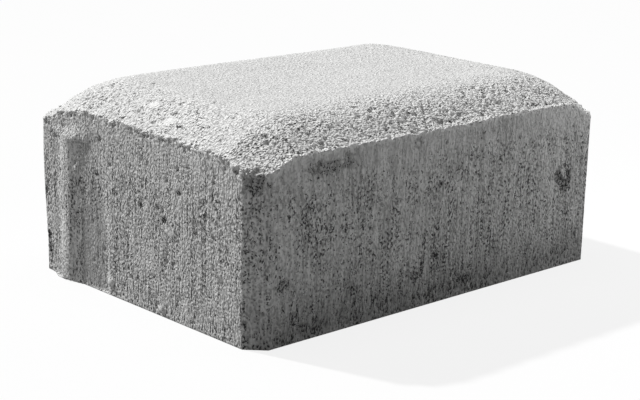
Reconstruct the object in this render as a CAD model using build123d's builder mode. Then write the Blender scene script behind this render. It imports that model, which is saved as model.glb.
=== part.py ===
from build123d import *
import os

# A cast concrete paving stone: a low block with its vertical corners cut off in plan, a wide
# bevel all round the top, corners that are worn lower than the rest of the bevel, and a
# tapered spacer nib on each short end. The origin is at the middle of the underside.
# All sizes are in millimetres.

# Driving dimensions of the block
stone_length = 194.0
stone_width = 140.0
stone_height = 81.0
corner_cut = 7.2

# The bevel round the top: how far it reaches in, how much it drops, and how softly it
# turns into the flat top
bevel_width = 20.5
bevel_drop = 10.0
crown_radius = 50.0

# The worn corners: how much lower the bevel's lower edge is there
corner_drop = 5.3

# The spacer nibs that keep the joint open between two laid stones: a low rib with a short
# flank towards the near corner and a long one towards the middle of the end, which grows
# towards the underside and ends in a short slope below the bevel
nib_crest = 6.0
nib_short_flank = 5.5
nib_long_flank = 10.0
nib_foot_projection = 2.0
nib_head_projection = 1.6
nib_height = 65.5
nib_slope_height = 5.0
nib_end_gap = 6.6
nib_root = 2.0

half_length = stone_length / 2
half_width = stone_width / 2
arris_height = stone_height - bevel_drop
worn_height = arris_height - corner_drop
crown_half_length = half_length - bevel_width
crown_half_width = half_width - bevel_width
nib_outer_foot = half_width - corner_cut - nib_end_gap
nib_outer_crest = nib_outer_foot - nib_short_flank
nib_inner_crest = nib_outer_crest - nib_crest
nib_inner_foot = nib_inner_crest - nib_long_flank


def trim_above(point_a, point_b, point_c):
    """Cut the stone down to the plane through three points, keeping what is below it."""
    normal = (point_b - point_a).cross(point_c - point_a)
    upward = normal if normal.Z > 0 else -normal
    split(bisect_by=Plane(origin=point_a, z_dir=upward), keep=Keep.BOTTOM)


def nib_section(turn, height, projection):
    """One level section of the nib on the end that faces -X before the turn."""
    with BuildSketch(Plane.XY.offset(height).rotated((0, 0, turn))) as section:
        with BuildLine():
            Polyline(
                (nib_root - half_length, nib_inner_foot),
                (-half_length, nib_inner_foot),
                (-half_length - projection, nib_inner_crest),
                (-half_length - projection, nib_outer_crest),
                (-half_length, nib_outer_foot),
                (nib_root - half_length, nib_outer_foot),
                close=True,
            )
        make_face()
    return section.sketch


with BuildPart() as paving_stone:
    # The block, with its four vertical corners cut off in plan
    with BuildSketch() as plan:
        Rectangle(stone_length, stone_width)
        chamfer(plan.vertices(), corner_cut)
    extrude(amount=stone_height)

    for side in (-1, 1):
        # The bevels along the two long sides
        trim_above(
            Vector(-half_length, side * half_width, arris_height),
            Vector(half_length, side * half_width, arris_height),
            Vector(0, side * crown_half_width, stone_height),
        )
        # The bevels along the two short ends
        trim_above(
            Vector(side * half_length, -half_width, arris_height),
            Vector(side * half_length, half_width, arris_height),
            Vector(side * crown_half_length, 0, stone_height),
        )

    # Each worn corner runs from the corner of the flat top down to the plan cut
    for side_x in (-1, 1):
        for side_y in (-1, 1):
            trim_above(
                Vector(side_x * crown_half_length, side_y * crown_half_width, stone_height),
                Vector(side_x * (half_length - corner_cut), side_y * half_width, worn_height),
                Vector(side_x * half_length, side_y * (half_width - corner_cut), worn_height),
            )

    # The soft turn from the bevels into the flat top
    flat_top = paving_stone.faces().sort_by(Axis.Z)[-1]
    fillet(flat_top.edges(), radius=crown_radius)

    # One nib on each short end, at the same place when the stone is turned end for end
    for turn in (0, 180):
        foot = nib_section(turn, 0, nib_foot_projection)
        head = nib_section(turn, nib_height - nib_slope_height, nib_head_projection)
        top = nib_section(turn, nib_height, 0)
        loft([foot, head, top], ruled=True)

paving_stone.part.label = "paving_stone"

os.makedirs("parts", exist_ok=True)
export_step(paving_stone.part, "parts/paving_stone.step")
print("paving_stone", paving_stone.part.volume, paving_stone.part.bounding_box())
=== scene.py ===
# %% [markdown]
# # A cast concrete paving stone
#
# A paving stone is one casting: damp concrete, shaken and pressed in a steel mould and pushed
# out again a few seconds later. Everything that makes it look real comes from that. The sides
# were dragged along the mould, so they carry upright streaks and torn pores. The top was
# stamped, so it is sandy and a little paler, and its lower edge crumbled as the stamp left.
#
# The block's true shape and size come from the CAD model, which is loaded first as a fixed
# frame. This lesson makes one new piece from it, the stone with its real surface, and that
# piece stands in for the plain block.

# %% Load the frame
import math

import bmesh
import bpy
import numpy as np
from mathutils import Matrix, Vector, kdtree, noise


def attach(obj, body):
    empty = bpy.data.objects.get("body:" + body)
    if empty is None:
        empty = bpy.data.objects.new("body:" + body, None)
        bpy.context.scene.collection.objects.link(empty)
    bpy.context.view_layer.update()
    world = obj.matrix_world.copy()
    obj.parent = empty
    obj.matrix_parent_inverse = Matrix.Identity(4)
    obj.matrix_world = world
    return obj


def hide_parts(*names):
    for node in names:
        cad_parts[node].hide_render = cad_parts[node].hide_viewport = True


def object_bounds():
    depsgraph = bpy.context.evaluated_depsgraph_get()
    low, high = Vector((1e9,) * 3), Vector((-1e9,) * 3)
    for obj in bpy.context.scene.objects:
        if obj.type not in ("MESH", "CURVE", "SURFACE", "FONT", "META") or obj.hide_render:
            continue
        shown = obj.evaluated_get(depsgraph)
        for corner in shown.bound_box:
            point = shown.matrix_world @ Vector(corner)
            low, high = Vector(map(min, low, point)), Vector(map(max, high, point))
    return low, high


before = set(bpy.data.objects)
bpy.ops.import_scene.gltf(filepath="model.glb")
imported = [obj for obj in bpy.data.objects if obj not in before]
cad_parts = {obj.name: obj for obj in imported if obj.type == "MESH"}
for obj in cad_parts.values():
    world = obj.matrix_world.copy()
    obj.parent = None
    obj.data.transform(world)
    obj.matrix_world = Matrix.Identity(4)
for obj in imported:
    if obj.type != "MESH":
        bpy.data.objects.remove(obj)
cad_low, cad_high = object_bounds()
print("CAD box in metres:", tuple(cad_low), tuple(cad_high))

# %% [markdown]
# The camera stands where the picture was taken from: low, a little over half a metre away, in
# front of the corner between the long side and the short end. The focal length, the place
# and the three angles were found by fitting straight edges of the block to the picture.

# %% Camera
MM = 0.001
picture_width_px = 640
sensor_width_mm = 36.0
focal_length_px = 1614.2
camera_place_mm = (-453.2, -481.0, 202.7)
camera_turn_deg = 43.25
camera_dip_deg = 14.91
camera_roll_deg = 1.39
nearest_seen_m = 0.01


def turned(axis, degrees):
    """A rotation about one axis."""
    return Matrix.Rotation(math.radians(degrees), 4, axis)


camera_data = bpy.data.cameras.new("camera")
camera_data.sensor_width = sensor_width_mm
camera_data.lens = focal_length_px * sensor_width_mm / picture_width_px
camera_data.clip_start = nearest_seen_m
camera = bpy.data.objects.new("camera", camera_data)
camera.matrix_world = (
    Matrix.Translation(Vector(camera_place_mm) * MM)
    @ turned("Z", -camera_turn_deg)
    @ turned("X", 90 - camera_dip_deg)
    @ turned("Z", camera_roll_deg)
)
bpy.context.scene.collection.objects.link(camera)
bpy.context.scene.camera = camera
print("camera lens in mm:", round(camera_data.lens, 1))

# %% [markdown]
# Nodes are easier to read as arithmetic. This small class wraps one output of a node: adding
# or multiplying two of them adds a Math node, and `node` makes any other kind, with its
# settings first and then the values or links of its sockets.

# %% Shader arithmetic


class Wire:
    """One output of a shader node, with arithmetic on it."""

    def __init__(self, tree, socket=None):
        self.tree = tree
        self.socket = socket

    def node(self, kind, inputs, output=0, **settings):
        """Any other node: its type, its sockets' values or wires, and its settings."""
        made = self.tree.nodes.new(kind)
        for name, value in settings.items():
            setattr(made, name, value)
        for name, value in inputs.items():
            if isinstance(value, Wire):
                self.tree.links.new(value.socket, made.inputs[name])
            else:
                made.inputs[name].default_value = value
        return Wire(self.tree, made.outputs[output]) if made.outputs else None

    def math(self, operation, *values):
        """A Math node on these values or wires."""
        return self.node("ShaderNodeMath", dict(enumerate(values)), operation=operation)

    def __add__(self, other):
        return self.math("ADD", self, other)

    def __sub__(self, other):
        return self.math("SUBTRACT", self, other)

    def __rsub__(self, other):
        return self.math("SUBTRACT", other, self)

    def __mul__(self, other):
        return self.math("MULTIPLY", self, other)

    __radd__ = __add__
    __rmul__ = __mul__

    def clamp(self, low, high):
        """The value, kept between low and high."""
        return self.math("MINIMUM", self.math("MAXIMUM", self, low), high)

    def smooth(self, low, high):
        """0 below low, 1 above high, and a soft step between."""
        sockets = {"Value": self, "From Min": low, "From Max": high}
        return self.node("ShaderNodeMapRange", sockets, interpolation_type="SMOOTHSTEP")

    def mix(self, first, second):
        """The first colour where this wire is 0 and the second where it is 1."""
        sockets = {0: self, 6: first, 7: second}
        return self.node("ShaderNodeMix", sockets, output=2, data_type="RGBA")


def new_material(name):
    """An empty node material and a wire to start from."""
    material = bpy.data.materials.new(name)
    material.use_nodes = True
    material.node_tree.nodes.clear()
    return material, Wire(material.node_tree)


def grey(level):
    """A neutral colour."""
    return (level, level, level, 1.0)


# %% [markdown]
# The key light comes from behind and a little to the left, nearly along the short end, so it
# rakes that end and leaves the long side in shade. A sun lamp with a small soft edge gives
# that. Most of the light in the shade has bounced off the floor: it reaches the upper part of
# the long side, while the stone's own shadow keeps the foot dark. A soft panel overhead opens
# the shadows on the bevel, and a small one on the right lights that end of the long side. To
# the camera the floor is white, with the stone's shadow faint on it.

# %% Lights and floor
sun_azimuth_deg = 18.0
sun_height_deg = 45.0
sun_strength = 3.55
sun_soft_deg = 2.5
# Each panel's name, its place and size in metres, and its power in watts
panels = [
    ("overhead", (0.0, 0.0, 1.2), 0.8, 2.2),
    ("right_panel", (0.25, -0.20, 0.12), 0.12, 0.14),
]
world_level = 0.15
floor_level = 0.32
floor_size = 6.0
floor_shadow_share = 0.16
floor_shadow_paint = 0.85


def point_light(name, kind, towards, energy):
    """A lamp that shines from the direction towards onto the stone."""
    data = bpy.data.lights.new(name, kind)
    data.energy = energy
    lamp = bpy.data.objects.new(name, data)
    lamp.rotation_mode = "QUATERNION"
    lamp.rotation_quaternion = towards.to_track_quat("Z", "Y")
    bpy.context.scene.collection.objects.link(lamp)
    return lamp


azimuth, height = math.radians(sun_azimuth_deg), math.radians(sun_height_deg)
to_sun = Vector(
    (-math.sin(azimuth) * math.cos(height), math.cos(azimuth) * math.cos(height), math.sin(height))
)
sun = point_light("sun", "SUN", to_sun, sun_strength)
sun.data.angle = math.radians(sun_soft_deg)
for name, panel_place, panel_size, power in panels:
    panel = point_light(name, "AREA", Vector(panel_place), power)
    panel.location = panel_place
    panel.data.size = panel_size
    panel.visible_camera = False

world = bpy.data.worlds.new("studio")
world.use_nodes = True
bpy.context.scene.world = world
world.node_tree.nodes.clear()
air = Wire(world.node_tree)
rays = air.tree.nodes.new("ShaderNodeLightPath")


def seen_directly(wire, light_path):
    """1 for what the camera sees, also through a reflection or a window."""
    sockets = [Wire(wire.tree, light_path.outputs[n]) for n in
               ("Is Camera Ray", "Is Glossy Ray", "Is Transmission Ray")]
    return wire.math("MINIMUM", sockets[0] + sockets[1] + sockets[2], 1.0)


backdrop = seen_directly(air, rays).mix(grey(world_level), grey(1.0))
shine = air.node("ShaderNodeBackground", {"Color": backdrop, "Strength": 1.0})
air.node("ShaderNodeOutputWorld", {"Surface": shine})

floor_mesh = bpy.data.meshes.new("floor")
sheet = bmesh.new()
bmesh.ops.create_grid(sheet, x_segments=1, y_segments=1, size=floor_size / 2)
sheet.to_mesh(floor_mesh)
sheet.free()
floor = bpy.data.objects.new("floor", floor_mesh)
bpy.context.scene.collection.objects.link(floor)

floor_material, paint = new_material("floor_white")
floor_rays = paint.tree.nodes.new("ShaderNodeLightPath")
direct = seen_directly(paint, floor_rays)
matt = paint.node("ShaderNodeBsdfDiffuse", {"Color": grey(floor_level)})
shadowed_grey = grey(floor_shadow_share * floor_shadow_paint)
lit = paint.node("ShaderNodeBsdfDiffuse", {"Color": shadowed_grey})
glow = paint.node("ShaderNodeEmission", {"Color": grey(1.0), "Strength": 1 - floor_shadow_share})
white = paint.node("ShaderNodeAddShader", {0: lit, 1: glow})
shown = paint.node("ShaderNodeMixShader", {0: direct, 1: matt, 2: white})
paint.node("ShaderNodeOutputMaterial", {"Surface": shown})
floor_mesh.materials.append(floor_material)

bpy.context.scene.view_settings.view_transform = "Standard"
print("lights:", [lamp.name for lamp in bpy.data.lights], "floor in metres:", floor_size)

# %% [markdown]
# The stone starts as a copy of the CAD block. A voxel remesh turns it into even little quads,
# small enough to carry crumbs and pores, and softens its edges by about their size.

# %% Even quads from the block
voxel_mm = 0.45
weld_mm = 0.001


def evaluated_copy(piece, name):
    """The piece's mesh with its modifiers applied."""
    graph = bpy.context.evaluated_depsgraph_get()
    mesh = bpy.data.meshes.new_from_object(piece.evaluated_get(graph))
    mesh.name = name
    return mesh


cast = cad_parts["paving_stone"].data.copy()
cast.materials.clear()
block = bmesh.new()
block.from_mesh(cast)
bmesh.ops.remove_doubles(block, verts=block.verts, dist=weld_mm * MM)
block.to_mesh(cast)
block.free()
stone = bpy.data.objects.new("stone", cast)
bpy.context.scene.collection.objects.link(stone)
remesh = stone.modifiers.new("even_quads", "REMESH")
remesh.mode = "VOXEL"
remesh.voxel_size = voxel_mm * MM
fine = evaluated_copy(stone, "stone_fine")
stone.modifiers.clear()
print("fine quads:", len(fine.polygons))

# %% [markdown]
# Relief is worked out in millimetres on plain arrays: where each point is, which way the
# surface faces there, and which points are joined. From the way it faces a point knows
# whether it is on the flat top, on the bevel round it, on a side, or on the arris, which is
# the trade's word for the edge where two faces meet.
#
# Where a zone begins and ends is told by soft steps. `step` rises from 0 to 1, `band` rises
# and falls again, `fading` falls off round a place, and `table` reads a value off a few stops.

# %% Points, facings and zones


def read_points(mesh):
    """The mesh's points in millimetres and its unit normals."""
    places = np.empty(len(mesh.vertices) * 3, np.float32)
    outward = np.empty(len(mesh.vertices) * 3, np.float32)
    mesh.vertices.foreach_get("co", places)
    mesh.vertex_normals.foreach_get("vector", outward)
    return places.reshape(-1, 3).astype(float) / MM, outward.reshape(-1, 3).astype(float)


def read_edges(mesh):
    """The two ends of each edge."""
    ends = np.empty(len(mesh.edges) * 2, np.int32)
    mesh.edges.foreach_get("vertices", ends)
    return ends.reshape(-1, 2)


def spread(values, rounds):
    """Values evened out over the neighbours, a number of times."""
    joined = np.bincount(edges.ravel(), minlength=len(values))
    for _ in range(rounds):
        near = np.bincount(edges[:, 0], values[edges[:, 1]], len(values))
        near += np.bincount(edges[:, 1], values[edges[:, 0]], len(values))
        values = (values + near) / (1 + joined)
    return values


def step(values, low, high):
    """0 at low, 1 at high, and a soft step between."""
    share = np.clip((values - low) / (high - low), 0, 1)
    return share * share * (3 - 2 * share)


def band(values, start, full, fade, end):
    """0 up to start, 1 from full to fade, and 0 again from end."""
    return step(values, start, full) * (1 - step(values, fade, end))


def fading(distance, reach):
    """1 at no distance, and less and less beyond the reach."""
    return np.exp(-((distance / reach) ** 2))


def table(values, stops):
    """What a table of stops says for each value, straight between the stops."""
    return np.interp(values, list(stops), list(stops.values()))


# How far up, down or sideways a zone faces, from where it starts to where it is full
flat_tilt_deg = (1, 21)
tilt_rounds = 12
bevel_facing = (0.55, 0.75)
side_facing = (0.3, 0.6)
under_facing = (0.5, 0.9)
arris_facing = (0.12, 0.3, 0.75, 0.88)
end_facing = (0.7, 0.9)
chamfer_facing = (0.4, 0.6)
sure_arris = 0.5
nib_top_mm = 65.6

points, normals = read_points(fine)
edges = read_edges(fine)
level_mm = points[:, 2]
facing_up = normals[:, 2]
facing_end, facing_long = np.abs(normals[:, 0]), np.abs(normals[:, 1])
tilt_deg = np.degrees(np.arccos(np.clip(spread(facing_up, tilt_rounds), -1, 1)))
flat = 1 - step(tilt_deg, *flat_tilt_deg)
bevel = step(facing_up, *bevel_facing) * (1 - flat)
side = 1 - step(np.abs(facing_up), *side_facing)
under = step(-facing_up, *under_facing)
arris = band(facing_up, *arris_facing) * (level_mm > nib_top_mm)
on_end = facing_end > facing_long
ends = side * step(facing_end, *end_facing)
chamfer = side * step(np.minimum(facing_end, facing_long), *chamfer_facing)
on_arris = arris > sure_arris
print("points:", len(points), "arris points:", int(on_arris.sum()))

# %% [markdown]
# Much of the wear depends on how far a point is from the arris. A k-d tree, which finds the
# nearest of many points quickly, measures that.

# %% Distance from the arris
far_mm, near_mm = 30.0, 2
rim_reach_mm = 0.9
below_arris_reach_mm = 3.0


def tree_of(places):
    """A k-d tree of places."""
    made = kdtree.KDTree(len(places))
    for index, point in enumerate(places.tolist()):
        made.insert(point, index)
    made.balance()
    return made


arris_tree = tree_of(points[on_arris])
upper = level_mm > cad_high.z / MM - far_mm
from_arris = np.full(len(points), far_mm)
from_arris[upper] = [arris_tree.find(p)[2] for p in points[upper].tolist()]
rim = fading(from_arris, rim_reach_mm)
below_arris = side * np.exp(-from_arris / below_arris_reach_mm)
print("points near the arris:", int((from_arris < near_mm).sum()))

# %% [markdown]
# Three kinds of pattern make up the surface. `rough` is fractal noise for lumps and streaks,
# which are noise drawn out upright. `grains` packs rounded lumps side by side, as sand is
# packed. `pressed` scatters pores: small bowls, pressed in at random places of a zone.
# All of them use fixed seeds, so that the stone is the same in each run.

# %% Patterns
dice = np.random.default_rng(7)
all_points = tree_of(points)
fractal_dimension, octave_scale = 1.0, 2.0
nothing_below = 0.01
lump_edge, lowest_lump, lump_mixing = 0.5, 0.5, 7
mostly_small = 2.5


def rough(zone, size, octaves=2, upright=1, shift=0):
    """Fractal noise on the points of a zone, about -1 to 1, with lumps of a size in mm."""
    here = zone > nothing_below
    scaled = points[here] / (np.array((1, 1, upright)) * size) + shift
    values = np.zeros(len(points))
    values[here] = [
        noise.fractal(p, fractal_dimension, octave_scale, octaves) for p in scaled.tolist()
    ]
    return values * zone


def grains(zone, size, shift=0):
    """Rounded lumps packed side by side: 0 in the gaps, up to 1 on the tallest lumps."""
    here = zone > nothing_below
    scaled = points[here] / size + shift
    values = np.zeros(len(points))
    lumps = []
    for near, places in (noise.voronoi(p) for p in scaled.tolist()):
        lumps.append((near[1] - near[0], noise.cell(places[0] * lump_mixing)))
    gap, height = np.array(lumps).T
    values[here] = step(gap, 0, lump_edge) * (lowest_lump + (1 - lowest_lump) * height)
    return values * zone


def pressed(count, weight, small, large, depth_share, upright=1.0):
    """How deep each point is pressed in by scattered pores, in millimetres."""
    depth = np.zeros(len(points))
    centres = dice.choice(len(points), count, p=weight / weight.sum())
    radii = small + (large - small) * dice.random(count) ** mostly_small
    squeeze = np.array((1.0, 1.0, 1.0 / upright))
    for centre, radius in zip(centres, radii):
        found = all_points.find_range(points[centre].tolist(), radius * upright)
        index = np.array([f[1] for f in found])
        apart = np.linalg.norm((points[index] - points[centre]) * squeeze, axis=1) / radius
        bowl = np.clip(1 - apart**2, 0, None) * radius * depth_share
        depth[index] = np.maximum(depth[index], bowl)
    return depth


# %% [markdown]
# First the slow shape of the ends, which starts with a faint wave over the whole stone. The
# nib is fullest at its inner edge, from where it slopes gently outwards, and its head runs on
# sideways as a crumbly lip. Beside it the side was drawn in as the mould slid off, in a shallow
# hollow that widens towards the foot. Places along an end are measured from its middle, and
# the table gives what the nib's level section gains or loses there.

# %% Nib and hollow
wave_mm, wave_height_mm = 40, 0.20
nib_section_mm = {
    20.5: 0.0, 24.0: -0.2, 33.0: -0.25, 34.7: -0.1, 37.0: 0.0, 40.0: 0.35, 42.6: 0.75,
    44.7: 0.4, 46.3: 0.2, 47.5: -0.15, 49.5: -0.9, 50.7: -1.3, 53.2: -1.04, 56.2: 0.0,
}
nib_end_mm = (60, 63)
lip_mm = 1.2
lip_top_mm, lip_foot_mm = 66.0, 59.8
lip_under_mm, lip_over_mm = 0.8, 0.4
lip_across_mm = (29, 34, 37, 45)
crest_top_mm = 62
crest_across_mm = (41.5, 45, 50, 53)
head_across_mm = (36, 42)
head_levels_mm = (59, 61, 65, 67)
lip_crumb_mm, lip_crumb_height_mm = 0.9, 0.4
hollow_depth_mm = 1.2
hollow_start_mm = 36.0
hollow_edge_mm, hollow_narrowing_mm = 20.5, 8
narrowing_start_mm, narrowing_reach_mm, narrowing_bend = 26, 30, 1.5
hollow_return_mm, wider_return_mm = 3.0, 5
wider_levels_mm = (35, 60)
hollow_end_mm = (50, 61)
shallow_share, shallow_levels_mm = 0.6, (25, 55)
beside_rise_mm = (-3, 6)
beside_fall_mm, beside_end_mm = (42.5, 44.5), (58, 60)

along_end = np.where(points[:, 0] < 0, points[:, 1], -points[:, 1])
slow = wave_height_mm * rough(np.ones(len(points)), wave_mm, 1)
slow += table(along_end, nib_section_mm) * ends * (1 - step(level_mm, *nib_end_mm))

lip_ramp = np.clip((lip_top_mm - level_mm) / (lip_top_mm - lip_foot_mm), 0, 1)
lip_ramp *= step(level_mm, lip_foot_mm - lip_under_mm, lip_foot_mm + lip_over_mm)
lip = ends * lip_ramp * band(along_end, *lip_across_mm)
nib_crest = ends * band(along_end, *crest_across_mm) * (level_mm < crest_top_mm)
nib_head = ends * step(along_end, *head_across_mm) * band(level_mm, *head_levels_mm)
lip_crumbs = rough(np.maximum(lip, nib_head), lip_crumb_mm, 2, shift=61)
slow += lip_mm * lip + lip_crumb_height_mm * lip_crumbs

narrowing = np.clip((level_mm - narrowing_start_mm) / narrowing_reach_mm, 0, 1)
hollow_edge = hollow_edge_mm + hollow_narrowing_mm * narrowing**narrowing_bend
hollow_return = hollow_return_mm + wider_return_mm * step(level_mm, *wider_levels_mm)
falling = (hollow_start_mm - along_end) / (hollow_start_mm - hollow_edge)
rising = 1 - (hollow_edge - along_end) / hollow_return
hollow_shape = np.clip(np.minimum(falling, rising), 0, 1) * ends
hollow_shape *= 1 - step(level_mm, *hollow_end_mm)
shallower = 1 - shallow_share * step(level_mm, *shallow_levels_mm)
slow -= hollow_depth_mm * hollow_shape * shallower
beside_nib = ends * step(along_end, *(hollow_edge + rise for rise in beside_rise_mm))
beside_nib *= (1 - step(along_end, *beside_fall_mm)) * (1 - step(level_mm, *beside_end_mm))
print("slow shape in mm:", round(float(slow.min()), 2), "to", round(float(slow.max()), 2))

# %% [markdown]
# Then the wear of the block's edges. Three of the corners are worn lower than the fourth. The
# arris sags a little near the front corner and along the long side, and is ragged all round,
# more so on the ends. Over the right-hand end the top is a little fuller, and the far upright
# edge of the visible end is drawn in at its foot.

# %% Worn edges
nib_projection_mm = 2
corner_wear_mm = {(-1, -1): 0.0, (-1, 1): 1.9, (1, -1): 1.7, (1, 1): 1.0}
corner_reach_mm = 26
shoulder_mm, shoulder_reach_mm, shoulder_share = 17, 9, 0.7
corner_levels_mm = (30, 66)
end_sag_mm = {-70: 0, -56: 1.3, -45: 1.9, -38: 1.5, -30: 1.0, -24: 0.2, 40: 0}
long_sag_mm = {
    -92: 0, -86: 0.4, -78: 1.1, -60: 1.0, -30: 0.9, 0: 1.0, 20: 0.8, 32: 0.2, 72: 0.5, 80: 0,
}
sag_reach_mm = 9.0
sag_levels_mm = (35, 66)
ragged_mm, ragged_reach_mm = 4.5, 2.5
ragged_end_height_mm, ragged_long_height_mm = 1.2, 0.4
fuller_mm, fuller_place_mm, fuller_reach_mm = 0.7, 76, 10
fuller_facing = (0.6, 0.8)
foot_wear_mm = 0.9
foot_edge_mm = (-97.0, 62.8)
foot_reach_mm, foot_levels_mm = 6, (0, 50)

fuller = fading(points[:, 0] - fuller_place_mm, fuller_reach_mm)
slow += fuller_mm * fuller * step(facing_up, *fuller_facing)

half_length_mm, half_width_mm = cad_high.x / MM, cad_high.y / MM
from_corner = np.hypot(np.abs(points[:, 0]) - half_length_mm, np.abs(points[:, 1]) - half_width_mm)
shoulder = fading(from_corner - shoulder_mm, shoulder_reach_mm)
worn = fading(from_corner, corner_reach_mm) + shoulder_share * shoulder
droop = np.zeros(len(points))
for (side_x, side_y), wear in corner_wear_mm.items():
    here = (points[:, 0] * side_x > 0) & (points[:, 1] * side_y > 0)
    droop += here * wear * worn * step(level_mm, *corner_levels_mm)

from_end = points[:, 0] + half_length_mm - nib_projection_mm
from_long_side = points[:, 1] + half_width_mm
end_sag = table(points[:, 1], end_sag_mm) * fading(from_end, sag_reach_mm)
long_sag = table(points[:, 0], long_sag_mm) * fading(from_long_side, sag_reach_mm)
droop += np.maximum(end_sag, long_sag) * step(level_mm, *sag_levels_mm)
ragged = rough(fading(from_arris, ragged_reach_mm), ragged_mm, 2, shift=71)
droop += ragged * np.where(on_end, ragged_end_height_mm, ragged_long_height_mm)

from_foot = np.hypot(points[:, 0] - foot_edge_mm[0], points[:, 1] - foot_edge_mm[1])
drawn_in = foot_wear_mm * fading(from_foot, foot_reach_mm) * (1 - step(level_mm, *foot_levels_mm))
print("edges worn down by up to mm:", round(float(droop.max()), 2))

# %% [markdown]
# Then the surface itself. The flat top is fine sand. The bevel is coarser and crumbly, with
# gaps between its lumps, because the stamp tore it as it lifted, but here and there a smooth
# skin of cement is left. The sides are smooth skin too, torn open in upright rows.

# %% Surface relief
# The size of each pattern's lumps, its height or depth, how far it is drawn out upright, and
# the range of noise over which it comes in
skin_mm, skin_range = 8, (-0.3, 0.3)
skin_share_on_end, skin_share_on_long = 0.85, 0.35
skin_calm_share = 0.65
fine_sand_mm, fine_sand_height_mm = 1.5, 0.08
broad_sand_mm, broad_sand_height_mm = 4.0, 0.06
lump_mm, lump_height_mm = 1.5, 0.18
crumb_mm, crumb_height_mm = 0.9, 0.12
pit_mm, pit_depth_mm, pit_range = 1.6, 0.45, (0.18, 0.45)
torn_row_mm, torn_row_upright, torn_patch_mm = 2.0, 14, 9
torn_range = (-0.1, 0.5)
torn_patch_share, even_end_share = 0.5, 0.5
torn_everywhere, torn_on_chamfer, torn_on_end = 0.10, 0.15, 0.18
less_torn, less_torn_levels_mm = 0.2, (45, 65)
smooth_hollow, smooth_head, smooth_head_levels_mm = 0.06, 1.0, (46, 54)
drag_mm, drag_height_mm, drag_upright = 1.2, 0.05, 6
tear_mm, tear_upright, tear_height_mm = 1.25, 1.5, 0.10
tear_depth_mm, tear_range = 0.30, (0.12, 0.4)
tear_line_mm, tear_line_upright, tear_line_range = 1.5, 12, (-0.15, 0.25)
side_pore_count, side_pores_mm, side_depth_share, pressed_upright = 500, (0.5, 1.1), 0.8, 1.3
top_pore_count, top_pores_mm, top_depth_share, flat_pore_share = 600, (0.6, 1.5), 0.6, 0.05
pore_free_mm = 4

skin_share = np.where(on_end, skin_share_on_end, skin_share_on_long)
skin = step(rough(bevel, skin_mm, 2, shift=51), *skin_range) * skin_share * bevel
crumbly = bevel * (1 - skin_calm_share * skin)
sand = fine_sand_height_mm * rough(flat, fine_sand_mm)
sand += broad_sand_height_mm * rough(flat, broad_sand_mm, shift=3)
lumps = lump_height_mm * grains(crumbly, lump_mm)
lumps += crumb_height_mm * rough(crumbly, crumb_mm, shift=11)
pits = -pit_depth_mm * step(rough(crumbly, pit_mm, shift=17), *pit_range)

torn_rows = rough(side, torn_row_mm, 2, upright=torn_row_upright, shift=5)
torn = torn_rows + torn_patch_share * rough(side, torn_patch_mm, 2, shift=9)
torn = torn * (1 - even_end_share * ends) + torn_everywhere + torn_on_chamfer * chamfer
torn += ends * (torn_on_end - less_torn * step(level_mm, *less_torn_levels_mm))
torn -= beside_nib * (smooth_hollow + smooth_head * step(level_mm, *smooth_head_levels_mm))
torn = side * step(torn, *torn_range) * (1 - lip)
drag_marks = drag_height_mm * rough(side, drag_mm, 1, upright=drag_upright)
tear_noise = rough(torn, tear_mm, 2, upright=tear_upright, shift=8)
lines = step(rough(torn, tear_line_mm, 1, upright=tear_line_upright, shift=13), *tear_line_range)
tears = tear_height_mm * tear_noise - tear_depth_mm * step(tear_noise, *tear_range) * lines
pored_side = side * (from_arris > pore_free_mm) * (1 - lip)
pored_top = bevel + flat_pore_share * flat
side_pores = pressed(
    side_pore_count, pored_side, *side_pores_mm, side_depth_share, upright=pressed_upright
)
top_pores = pressed(top_pore_count, pored_top, *top_pores_mm, top_depth_share)
print("points pressed in by pores:", int((side_pores + top_pores > 0).sum()))

# %% [markdown]
# The arris is the weakest place. It crumbled in small bites, short notches run down the side
# from it, and a thin burr of cement stands up in between, except at the right-hand end.

# %% Crumbled arris
bite_mm = 1.9
burr_height_mm, bite_height_mm = 0.25, 0.9
burr_loss_share, burr_end_mm = 0.7, (86, 92)
notch_mm, notch_upright, notch_range = 1.3, 2, (0.12, 0.4)
notch_depth_mm, long_side_notch_share = 0.8, 0.3

bites = rough(rim, bite_mm, 2, shift=21)
burr = rim * (burr_height_mm + bite_height_mm * bites)
burr *= 1 - burr_loss_share * step(points[:, 0], *burr_end_mm)
notches = step(rough(below_arris, notch_mm, 2, upright=notch_upright, shift=31), *notch_range)
notches *= -notch_depth_mm * (long_side_notch_share + (1 - long_side_notch_share) * ends)
notches *= 1 - lip
print("burr up to mm:", round(float(burr.max()), 2))

# %% [markdown]
# A few marks have their own place: chips, rough patches and stones that show at the surface.
# Each is an ellipsoid round a point, with a ragged border, and is dented or raised.

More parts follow.
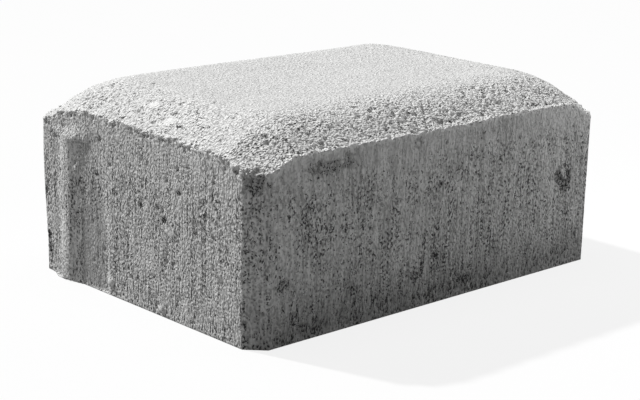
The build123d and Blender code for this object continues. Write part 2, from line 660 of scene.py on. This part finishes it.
# %% Chips and single marks
# The middle, the reach along each axis, and the depth, in mm
chips = [
    ((-94.5, -66.0, 64.5), (4.0, 3.6, 5.2), 1.2),
    ((-91.0, -70.0, 62.0), (1.3, 1.5, 1.8), 0.5),
    ((-63.0, -70.0, 64.8), (7.0, 2.5, 3.0), 0.7),
    ((-52.5, -70.0, 65.8), (2.2, 2.0, 3.2), 0.9),
    ((-70.0, -70.0, 66.0), (4.0, 2.0, 2.2), 0.5),
    ((70.3, -70.0, 40.0), (2.0, 2.0, 3.6), 1.1),
    ((74.5, -70.0, 35.6), (2.8, 2.0, 2.6), 1.1),
    ((77.2, -70.0, 40.6), (1.6, 2.0, 2.4), 0.8),
    ((-15.6, -70.0, 67.0), (2.0, 1.5, 2.2), 0.5),
    ((5.0, -70.0, 60.9), (1.9, 1.5, 1.9), 0.4),
    ((21.1, -70.0, 65.0), (1.9, 1.5, 2.0), 0.5),
    ((27.6, -70.0, 65.9), (1.4, 1.5, 1.4), 0.5),
    ((-83.8, -70.0, 23.0), (3.4, 2.0, 2.2), 0.6),
    ((-69.0, -70.0, 4.5), (8.0, 2.0, 3.0), 0.25),
    ((-49.0, -70.0, 13.8), (3.0, 2.0, 3.4), 0.3),
    ((14.0, -70.0, 6.0), (4.5, 2.0, 1.6), 0.6),
    ((-2.2, -70.0, 48.7), (1.4, 1.6, 1.6), 0.9),
    ((-3.9, -70.0, 19.8), (1.6, 1.6, 1.8), 0.9),
    ((-97.0, -2.8, 41.2), (2.0, 1.1, 1.2), 0.9),
    ((-97.0, -17.2, 38.2), (2.0, 1.1, 1.0), 1.0),
    ((-97.0, -26.4, 50.8), (2.0, 1.0, 1.0), 0.7),
    ((-97.0, -45.9, 54.4), (2.0, 0.9, 1.8), 0.5),
    ((-97.0, 37.0, 40.0), (2.5, 5.0, 5.0), 0.12),
    ((-98.0, 61.0, 12.5), (3.0, 2.0, 4.5), 0.9),
    ((-97.5, 61.5, 33.5), (2.0, 1.0, 2.6), 0.5),
    ((-85.8, -9.1, 76.5), (1.4, 1.2, 2.0), 0.8),
    ((-79.8, -5.7, 79.4), (1.0, 1.2, 2.0), 0.6),
    ((-92.2, -4.4, 73.4), (1.3, 1.2, 2.0), 0.7),
    ((-86.9, 2.9, 75.9), (0.9, 1.6, 2.0), 0.6),
    ((-94.1, -15.8, 72.4), (1.1, 1.2, 2.0), 0.6),
    ((-93.4, -58.9, 72.7), (1.4, 1.4, 2.0), 0.9),
    ((-27.1, -55.1, 78.3), (1.4, 1.2, 2.0), 0.7),
    ((-0.2, -66.2, 72.8), (1.8, 1.4, 2.0), 0.9),
    ((13.0, -64.5, 73.7), (1.4, 1.2, 2.0), 0.8),
    ((-18.7, -59.4, 76.2), (1.1, 1.0, 2.0), 0.7),
    ((-24.1, -49.2, 81.0), (0.9, 0.9, 2.0), 0.4),
    ((-8.4, -60.8, 75.5), (1.0, 0.9, 2.0), 0.7),
    ((-2.1, -59.4, 76.2), (0.9, 1.0, 2.0), 0.6),
    ((60.7, -53.2, 79.0), (1.2, 0.9, 2.0), 0.7),
    ((60.0, -57.3, 77.2), (1.0, 0.9, 2.0), 0.7),
    ((55.8, -66.9, 72.5), (1.1, 1.0, 2.0), 0.8),
    ((-62.4, -66.1, 72.9), (1.3, 1.0, 2.0), 0.7),
    ((-28.4, -65.1, 73.4), (1.2, 1.0, 2.0), 0.7),
    ((36.3, -55.8, 77.9), (0.9, 0.8, 2.0), 0.6),
    ((49.0, -57.4, 77.1), (0.9, 0.8, 2.0), 0.6),
]
# The middle, the reach along each axis, and the height, in mm
pebbles = [
    ((-97.0, -21.0, 34.6), (2.0, 3.0, 2.2), 0.35),
    ((-11.8, -70.0, 48.6), (1.5, 2.0, 1.5), 0.25),
    ((15.0, -70.0, 37.8), (2.0, 2.0, 1.6), 0.25),
    ((-15.6, -70.0, 67.0), (1.0, 1.5, 1.1), 0.4),
    ((5.0, -70.0, 60.9), (0.9, 1.5, 0.9), 0.35),
    ((-89.6, -12.1, 74.6), (2.4, 3.2, 2.6), 0.35),
    ((-84.0, 6.0, 77.4), (2.0, 2.6, 2.4), 0.2),
    ((-97.0, 16.8, 5.6), (2.0, 1.8, 1.8), 0.8),
    ((-97.0, -15.8, 3.2), (2.0, 1.5, 1.5), 0.6),
]
border_mm, dent_mm = 1.6, 1.5
even_dent_share, rough_dent_share = 0.75, 0.5
chip_ragged, pebble_ragged = 0.5, 0.1
search_share, border_share, border_soft = 1.6, 1.25, 0.6


def patch(middle, reach, ragged_border):
    """1 inside an ellipsoid and 0 outside, with a ragged border."""
    away = np.linalg.norm((points - middle) / np.array(reach), axis=1)
    near = (away < search_share).astype(float)
    border = ragged_border * rough(near, border_mm, shift=41)
    return step(near * (border_share - away + border), 0, border_soft)


chipped = np.zeros(len(points))
for middle, reach, depth in chips:
    inside = patch(middle, reach, chip_ragged)
    dents = even_dent_share + rough_dent_share * rough(inside, dent_mm, shift=43)
    chipped -= inside * depth * dents
pebbled = np.zeros(len(points))
for middle, reach, height in pebbles:
    inside = patch(middle, reach, pebble_ragged)
    pebbled = np.maximum(pebbled, inside)
    chipped += inside * height
print("chips:", len(chips), "pebbles:", len(pebbles))

# %% [markdown]
# All the parts of the relief are added up and each point moves along its normal. Worn edges
# sink straight down, and the foot moves in level. The underside stays flat, so that the stone
# lies still.

# %% Relief
still_foot_mm = 0.8
deepest_mm, tallest_mm = -2.2, 0.9

calm = 1 - np.clip(pebbled, 0, 1)
surface_relief = sand + lumps + pits + drag_marks + tears + burr + notches
surface_relief -= side_pores + top_pores
relief = slow + calm * surface_relief + chipped
relief = relief * (1 - under) * step(level_mm, 0, still_foot_mm)
relief = np.clip(relief, deepest_mm, tallest_mm)
moved = points + normals * relief[:, None]
moved[:, 2] -= droop
moved[:, 0] += drawn_in
moved[:, 1] -= drawn_in
fine.vertices.foreach_set("co", (moved * MM).astype(np.float32).ravel())
fine.update()
print("relief in mm:", round(float(relief.min()), 2), "to", round(float(relief.max()), 2))

# %% [markdown]
# What the material has to know is stored on the mesh as attributes: the zones, the arris,
# single stones, where a highlight is painted on the nib, where its shadow is painted beside
# it, and how hollow each point is. A point is in a hollow if its neighbours lie above it, and
# there the grey gets painted shade. On the nib's inner flank the painted shadow counts as less
# than none, so that light is painted there and the flank is paler than the side.

# %% Attributes
under_edge_reach_mm = 5.0
arris_share = 0.5
flank_mm = (34, 38)
# Painted light on the nib's inner flank, stronger towards its foot
painted_flank_light_share, painted_flank_foot_light_share = 1.4, 0.5
painted_flank_light_levels_mm = (20, 45)
# Share of the painted highlight that falls on the nib's crest
crest_highlight_share = 0.8
chip_dent_per_mm = 2.5


def store(name, values):
    """Keep one number per point under a name."""
    made = fine.attributes.new(name, "FLOAT", "POINT")
    made.data.foreach_set("value", values.astype(np.float32))


even = spread(relief, rounds=5)
# Painted light on the nib's inner flank, lifting it out of the painted shadow
painted_flank_light = painted_flank_light_share + painted_flank_foot_light_share * (1 - step(level_mm, *painted_flank_light_levels_mm))
painted_flank_light *= step(along_end, *flank_mm)
# Depth below the neighbours, which the grey darkens with painted shade
store("hollow", even - relief)
store("topside", spread(flat + bevel + arris_share * arris, rounds=2))
store("flat", spread(flat, rounds=10))
store("rim", rim)
store("skin", spread(skin, rounds=3))
store("torn", spread(torn, rounds=2))
# Painted shadow of the nib beside it, and painted light on its inner flank
store("painted_nib_shadow", spread(beside_nib * (1 - painted_flank_light), rounds=4))
# Painted highlight where the nib's lip, head and crest face the light
store("painted_nib_highlight", np.maximum.reduce([lip, nib_head, crest_highlight_share * nib_crest]))
store("long_side", spread(side * facing_long, rounds=6))
store("below_arris", side * np.exp(-from_arris / under_edge_reach_mm))
store("pebble", pebbled)
# How deep a chip is, which opens pores and gets painted shade
store("chip_dents", np.clip(spread(-chip_dent_per_mm * chipped, rounds=3), 0, 1))
print("hollows up to mm:", round(float((even - relief).max()), 2))

# %% [markdown]
# The remesh made many more quads than the surface needs. Collapse decimation drops the ones
# in calm places and keeps those in pores and on crumbled edges.

# %% Fewer triangles
triangle_limit = 194000

stone.data = fine
thin = stone.modifiers.new("thin_out", "DECIMATE")
thin.ratio = triangle_limit / (2 * len(fine.polygons))
thin.use_collapse_triangulate = True
surface = evaluated_copy(stone, "paving_stone_surface")
stone.modifiers.clear()
stone.data = surface
stone.name = "cast_stone"
surface.shade_smooth()
print("triangles:", len(surface.polygons), "attributes:", [a.name for a in surface.attributes])

# %% [markdown]
# Concrete is sand and small stones held in grey cement. The finest grain and the smallest
# pores are too small for the mesh, so they are colour and bump. Their patterns are noise on
# the stone's own coordinates, which are drawn out upright for the patterns of the sides.

# %% Patterns of the concrete
cloud_mm, patch_mm = 14, 5
top_grain_mm, coarse_grain_mm = 0.75, 1.3
side_grain_mm, side_grain_upright = 0.80, 1.4
row_mm, row_upright = 1.1, 9
drag_line_mm, drag_line_upright = 0.9, 26
broad_line_mm, broad_line_upright = 3.0, 10
side_pore_mm, side_pore_upright = 0.80, 1.25
top_pore_mm, sand_pit_mm = 1.5, 4.5
noise_middle, noise_contrast = 0.5, 1.8
soft_grain = (0.2, 0.8)
# Light crumbs and dark gaps; the dark gaps are partly painted shade
light_crumb_range, dark_gap_range, dark_gap_weight = (0.58, 0.80), (0.20, 0.40), 1.3

concrete, paste = new_material("concrete")
place = paste.node("ShaderNodeTexCoord", {}, output="Object")


def stored(name):
    """The attribute that was stored on the mesh under a name."""
    return paste.node("ShaderNodeAttribute", {}, output="Fac", attribute_name=name)


def stretched(upright):
    """Object coordinates in which patterns are drawn out upright."""
    return paste.node("ShaderNodeMapping", {"Vector": place, "Scale": (1.0, 1.0, 1 / upright)})


def speckle(vector, size_mm, detail=1.0):
    """Noise with lumps of a size, evened out to go from about 0 to 1."""
    sockets = {"Vector": vector, "Scale": 1 / (size_mm * MM), "Detail": detail}
    around_zero = paste.node("ShaderNodeTexNoise", sockets) - noise_middle
    return around_zero * noise_contrast + noise_middle


def pore_cells(vector, size_mm):
    """The distance from the middle of the nearest pore, in units of the size."""
    sockets = {"Vector": vector, "Scale": 1 / (size_mm * MM)}
    return paste.node("ShaderNodeTexVoronoi", sockets, output="Distance")


def crumbs(wire):
    """1 on light crumbs, less than -1 in the dark gaps, whose dark is partly painted shade, and 0
    on the skin between them.
    """
    return wire.smooth(*light_crumb_range) - dark_gap_weight * (1 - wire.smooth(*dark_gap_range))


def between(first, second, share):
    """The first value where the share is 0 and the second where it is 1."""
    return first + share * (second - first)


topside, flat_top, hollow = stored("topside"), stored("flat"), stored("hollow")
edge, under_edge, long_side = stored("rim"), stored("below_arris"), stored("long_side")
pebble, chip_dents, skin_left = stored("pebble"), stored("chip_dents"), stored("skin")
torn_open, painted_nib_shadow, painted_nib_highlight = stored("torn"), stored("painted_nib_shadow"), stored("painted_nib_highlight")

clouds = speckle(place, cloud_mm, 2.0)
patches = speckle(place, patch_mm, 2.0)
fine_noise = speckle(place, top_grain_mm, 0.0)
fine_grain = fine_noise.smooth(*soft_grain)
coarse_grain = speckle(place, coarse_grain_mm).smooth(*soft_grain)
side_noise = speckle(stretched(side_grain_upright), side_grain_mm, 0.0)
rows = speckle(stretched(row_upright), row_mm, 0.0).smooth(*soft_grain)
drag_lines = speckle(stretched(drag_line_upright), drag_line_mm)
broad_lines = speckle(stretched(broad_line_upright), broad_line_mm)
pore_field = speckle(stretched(side_pore_upright), side_pore_mm, 1.5)
print("nodes for the patterns:", len(paste.tree.nodes))

# %% [markdown]
# A pore opens where the noise falls below the room that a place gives it. On the sides there
# is more room where the skin is torn or scuffed, and less under the arris, in the clean band
# at the top of the long side and at the smooth foot beside the nib. On the bevel the room
# comes in patches, and the flat top and the skin have few pores.

# %% Pores
clean_levels_mm = (52, 66)
smooth_shaded_foot_levels_mm = (24, 42)
torn_share, lined_share, line_range = 0.3, 0.6, (0.3, 0.7)
patchy_share, patch_range = 0.15, (0.3, 0.9)
clean_calm_share, foot_calm_share = 0.8, 0.7
side_room_closed, side_room_opened = 0.175, 0.29
room_lost_under_edge, room_lost_in_clean_band = 0.15, 0.05
top_room_closed, top_room_patches, top_patch_range = 0.16, 0.22, (0.2, 0.9)
side_pore_rim, top_pore_rim = (-0.01, 0.04), (-0.02, 0.06)
sand_pit_room, sand_pit_rim = 0.13, (0.0, 0.05)

height_mm = paste.node("ShaderNodeSeparateXYZ", {0: place}, output="Z") * (1 / MM)
clean_band = height_mm.smooth(*clean_levels_mm) * long_side
# The lower part beside the nib: smoother, with fewer pores and calmer grey, and painted shadow
smooth_shaded_foot = painted_nib_shadow.clamp(0.0, 1.0) * (1 - height_mm.smooth(*smooth_shaded_foot_levels_mm))
opened = torn_open * (torn_share + lined_share * drag_lines.smooth(*line_range))
opened = opened + patches.smooth(*patch_range) * patchy_share
opened = opened * (1 - clean_calm_share * clean_band) * (1 - foot_calm_share * smooth_shaded_foot)
opened = (opened + chip_dents).clamp(0.0, 1.0)
side_room = side_room_closed + side_room_opened * opened
side_room = side_room - room_lost_under_edge * under_edge - room_lost_in_clean_band * clean_band
side_pore = (side_room - pore_field).smooth(*side_pore_rim)
top_patches = patches.smooth(*top_patch_range) * (1 - flat_top) * (1 - skin_left)
top_room = top_room_closed + top_room_patches * top_patches
top_pore = (top_room - pore_cells(place, top_pore_mm)).smooth(*top_pore_rim)
pore = between(side_pore, top_pore, topside) * (1 - pebble)
sand_pit = (sand_pit_room - pore_cells(place, sand_pit_mm)).smooth(*sand_pit_rim) * flat_top
print("nodes with the pores:", len(paste.tree.nodes))

# %% [markdown]
# The grey changes in soft clouds. Crumbs are lighter and gaps darker, more so where the side
# is torn, and the dark of the gaps is partly painted shade. The sides also carry upright lines.
# Painted shade darkens the long side, most towards its foot, and the hollow beside the nib,
# where the nib's shadow is painted. The bevel is paler than the sides, and the flat top is
# calmer. The arris and the nib's lip and crest get painted highlights, and pores, pits, chips
# and hollows get painted shade.

# %% Grey of the cement
side_grey, top_grey = 0.68, 0.63
darkest, palest = 0.06, 0.85
blue_share = 0.99
# How much the side's crumbs and gaps stand out, and what each zone adds to that or takes away
plain_contrast, long_side_contrast, torn_contrast, opened_contrast = 0.19, -0.06, 0.10, 0.12
clean_even_share, foot_even_share = 0.5, 0.6
# The tint of each zone, as a share of its grey, and what each pattern adds to it
side_tone, bevel_tone, flat_tone = 1.03, 1.20, 0.975
row_tint, drag_line_tint, broad_line_tint = 0.20, 0.20, 0.25
side_cloud_tint, top_cloud_tint = 0.20, 0.10
bevel_crumb_tint, bevel_coarse_tint = 0.36, 0.20
flat_crumb_tint, flat_coarse_tint = 0.22, 0.16
# Shares of the grey that painted shade takes away in each kind of place
painted_foot_shade_mm, painted_foot_shade_share = 26, 0.40
painted_long_side_shade, unshaded_clean_share = 0.06, 0.7
painted_nib_shadow_share, painted_foot_shadow_share = 0.20, 0.19
painted_pore_shade, painted_sand_pit_shade, painted_chip_shade = 0.82, 0.35, 0.25
painted_hollow_shade, hollow_range_mm = 0.3, (0.04, 0.30)
# What the painted highlights and the pale stones add to the grey
painted_arris_highlight, pale_pebble, painted_nib_highlight_share = 0.25, 0.08, 0.06

side_contrast = plain_contrast + long_side_contrast * long_side
side_contrast = side_contrast + torn_contrast * torn_open + opened_contrast * opened
side_contrast = side_contrast * (1 - clean_even_share * clean_band)
side_contrast = side_contrast * (1 - foot_even_share * smooth_shaded_foot)
side_tint = side_tone + crumbs(side_noise) * side_contrast
side_tint = side_tint + row_tint * (rows - noise_middle)
side_tint = side_tint + drag_line_tint * (drag_lines - noise_middle)
side_tint = side_tint + broad_line_tint * (broad_lines - noise_middle)
side_tint = side_tint + side_cloud_tint * (clouds - noise_middle)
# Painted shade, darker towards the foot of the long side
painted_foot_shade = (1 - height_mm.smooth(0, painted_foot_shade_mm)) * long_side
side_level = side_grey * side_tint * (1 - painted_foot_shade_share * painted_foot_shade)
# Painted shade over the long side, lighter in its clean top band
side_level = side_level * (1 - painted_long_side_shade * long_side * (1 - unshaded_clean_share * clean_band))
# Painted shadow of the nib beside it and at its foot, with painted light on its flank
side_level = side_level * (1 - painted_nib_shadow_share * painted_nib_shadow) * (1 - painted_foot_shadow_share * smooth_shaded_foot)

top_crumbs = crumbs(fine_noise)
bevel_tint = bevel_tone + bevel_crumb_tint * top_crumbs + bevel_coarse_tint * coarse_grain
flat_tint = flat_tone + flat_crumb_tint * top_crumbs + flat_coarse_tint * coarse_grain
smoothness = (flat_top + skin_left).clamp(0.0, 1.0)
top_tint = between(bevel_tint, flat_tint, smoothness)
top_level = top_grey * (top_tint + top_cloud_tint * (clouds - noise_middle))

level = between(side_level, top_level, topside)
# Painted highlights on the arris and on the nib, and pale stones
level = level + painted_arris_highlight * edge + pale_pebble * pebble + painted_nib_highlight_share * painted_nib_highlight
# Painted shade in chips, by their depth, and in pores
level = level * (1 - painted_chip_shade * chip_dents) * (1 - painted_pore_shade * pore)
# Painted shade in hollows
level = level * (1 - painted_hollow_shade * hollow.smooth(*hollow_range_mm))
# Painted shade in the sand pits of the flat top
level = level * (1 - painted_sand_pit_shade * sand_pit)
level = level.clamp(darkest, palest)
tone = paste.node("ShaderNodeCombineColor", {0: level, 1: level, 2: level * blue_share})
print("nodes with the grey:", len(paste.tree.nodes))

# %% [markdown]
# The bump is worked out in millimetres: crumbs stand up and gaps and pores go down. It follows
# the same patterns as the grey, so that each dark gap is also a dent.

# %% Bump and finish
side_bump_mm, torn_bump_mm, row_bump_mm = 0.19, 0.14, 0.10
crumb_range, gap_range, gap_depth_share = (0.58, 0.85), (0.15, 0.40), 2.0
foot_flat_share = 0.6
bevel_fine_mm, bevel_coarse_mm = 0.30, 0.30
flat_fine_mm, flat_coarse_mm = 0.15, 0.18
pore_bump_mm, bump_unit_mm = 0.45, 1.0
roughness, gloss = 0.93, 0.25

side_gaps = 1 - side_noise.smooth(*gap_range)
side_crumbs = side_noise.smooth(*crumb_range)
side_bump = (side_bump_mm + torn_bump_mm * opened) * (side_crumbs - gap_depth_share * side_gaps)
side_bump = (side_bump + row_bump_mm * rows) * (1 - foot_flat_share * smooth_shaded_foot)
bevel_bump = bevel_fine_mm * fine_grain + bevel_coarse_mm * coarse_grain
flat_bump = flat_fine_mm * fine_grain + flat_coarse_mm * coarse_grain
top_bump = between(bevel_bump, flat_bump, smoothness)
bump_mm = between(side_bump, top_bump, topside) * (1 - pebble) - pore_bump_mm * pore
sockets = {"Height": bump_mm, "Distance": bump_unit_mm * MM}
bump = paste.node("ShaderNodeBump", sockets, output="Normal")
body = paste.node("ShaderNodeBsdfPrincipled",
                  {"Base Color": tone, "Roughness": roughness, "Normal": bump,
                   "Specular IOR Level": gloss})
paste.node("ShaderNodeOutputMaterial", {"Surface": body})
surface.materials.append(concrete)
print("nodes of the concrete:", len(paste.tree.nodes))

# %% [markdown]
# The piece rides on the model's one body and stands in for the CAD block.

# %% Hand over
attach(stone, "root")
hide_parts("paving_stone")
